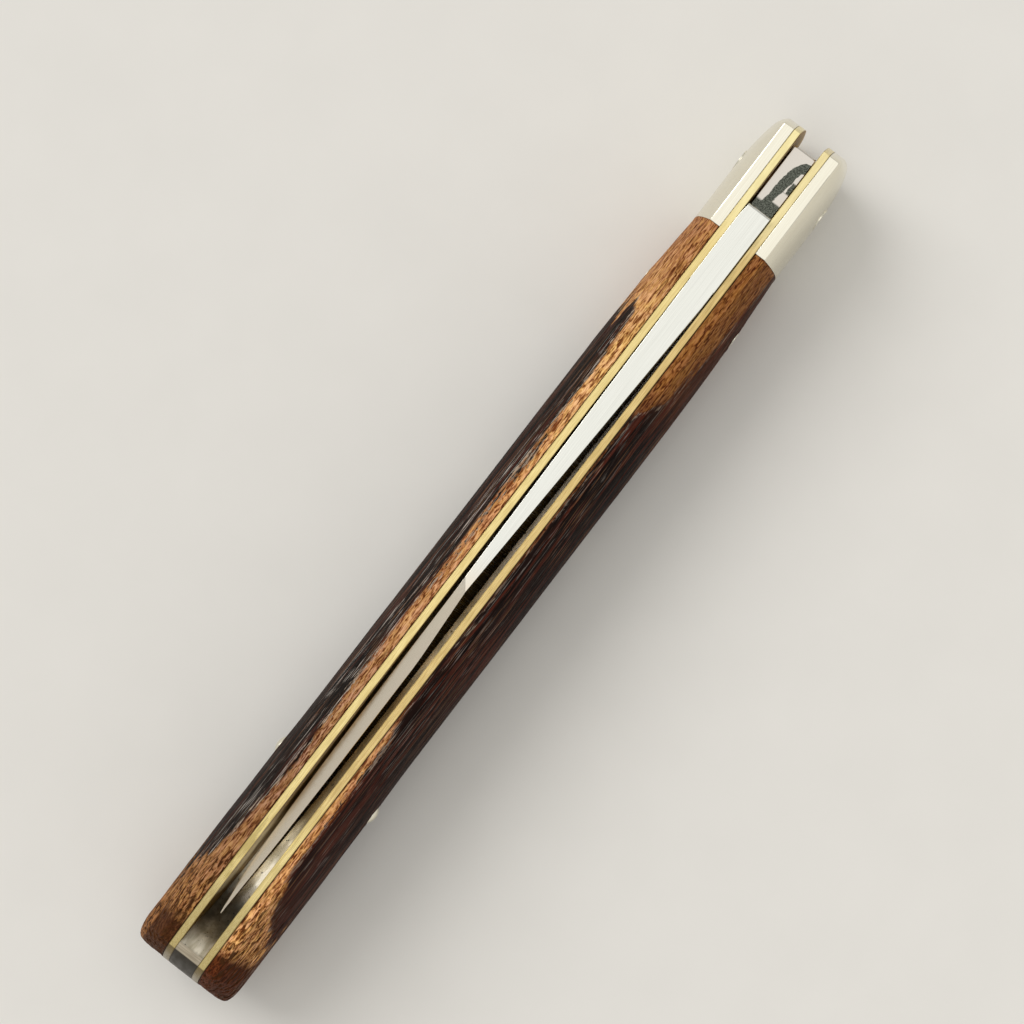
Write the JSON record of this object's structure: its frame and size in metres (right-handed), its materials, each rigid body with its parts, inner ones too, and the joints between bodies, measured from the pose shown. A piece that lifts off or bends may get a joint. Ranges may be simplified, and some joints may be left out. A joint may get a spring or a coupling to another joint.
{
  "type": "folding pocket knife",
  "caption": "Slipjoint folding pocket knife with a clip blade, backspring, brass liners, metal head bolsters and dark wood scales, stored closed on its back.",
  "frame": {"origin": "under the middle of the handle, on the plane that the knife's back rests on", "axes": "+X along the handle towards the bolsters and pivot, +Z out of the blade well, +Y across the handle to the side away from the nail nick"},
  "size_m": [0.112, 0.0134, 0.0168],
  "materials": {
    "blade_steel": "satin ground",
    "spring_steel": "polished",
    "brass": "satin filed",
    "nickel_silver": "polished",
    "bronze": "plain sheet",
    "scale_wood": "oiled, open grain"
  },
  "bodies": {
    "handle": {"backspring": "spring_steel", "liner_left": "brass", "liner_right": "brass", "bolster_left": "nickel_silver", "bolster_right": "nickel_silver", "scale_left": "scale_wood", "scale_right": "scale_wood", "pivot_pin": "nickel_silver", "washer_left": "bronze", "washer_right": "bronze", "spring_pin_middle": "nickel_silver", "spring_pin_rear": "nickel_silver", "scale_rivet_rear_left": "nickel_silver", "scale_rivet_rear_right": "nickel_silver", "scale_rivet_front_left": "nickel_silver", "scale_rivet_front_right": "nickel_silver", "bolster_pins_left": "nickel_silver", "bolster_pins_right": "nickel_silver"},
    "blade": {"blade": "blade_steel"}
  },
  "joints": [
    {"name": "blade_hinge", "type": "hinge", "parent": "handle", "child": "blade", "pos_m": [0.0493, 0, 0.0078], "axis": [0, 1, 0], "range_deg": [0, 180], "deforming": ["backspring"]}
  ]
}
